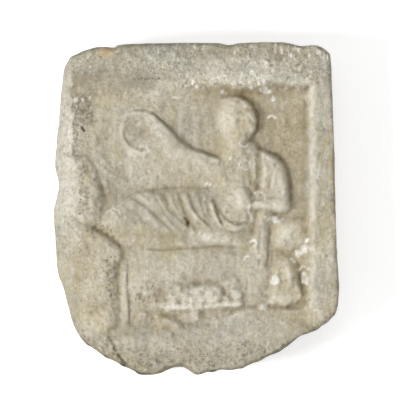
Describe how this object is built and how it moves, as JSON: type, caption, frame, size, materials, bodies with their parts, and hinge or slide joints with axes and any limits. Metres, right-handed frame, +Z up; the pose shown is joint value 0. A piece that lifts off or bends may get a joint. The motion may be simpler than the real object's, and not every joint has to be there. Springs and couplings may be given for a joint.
{
  "type": "marble relief plaque",
  "caption": "Broken marble slab carved in low relief with a banquet: a figure reclining on a couch with one arm raised, a seated figure, a small table and an attendant in a plain border.",
  "frame": {"origin": "on the flat back, behind the middle of the carved field", "axes": "+Y out of the back into the wall, +Z up, the carved face looks along -Y"},
  "size_m": [0.286, 0.0655, 0.3329],
  "materials": {
    "marble": "weathered, matt"
  },
  "bodies": {
    "root": {"relief_plaque": "marble"}
  },
  "joints": []
}
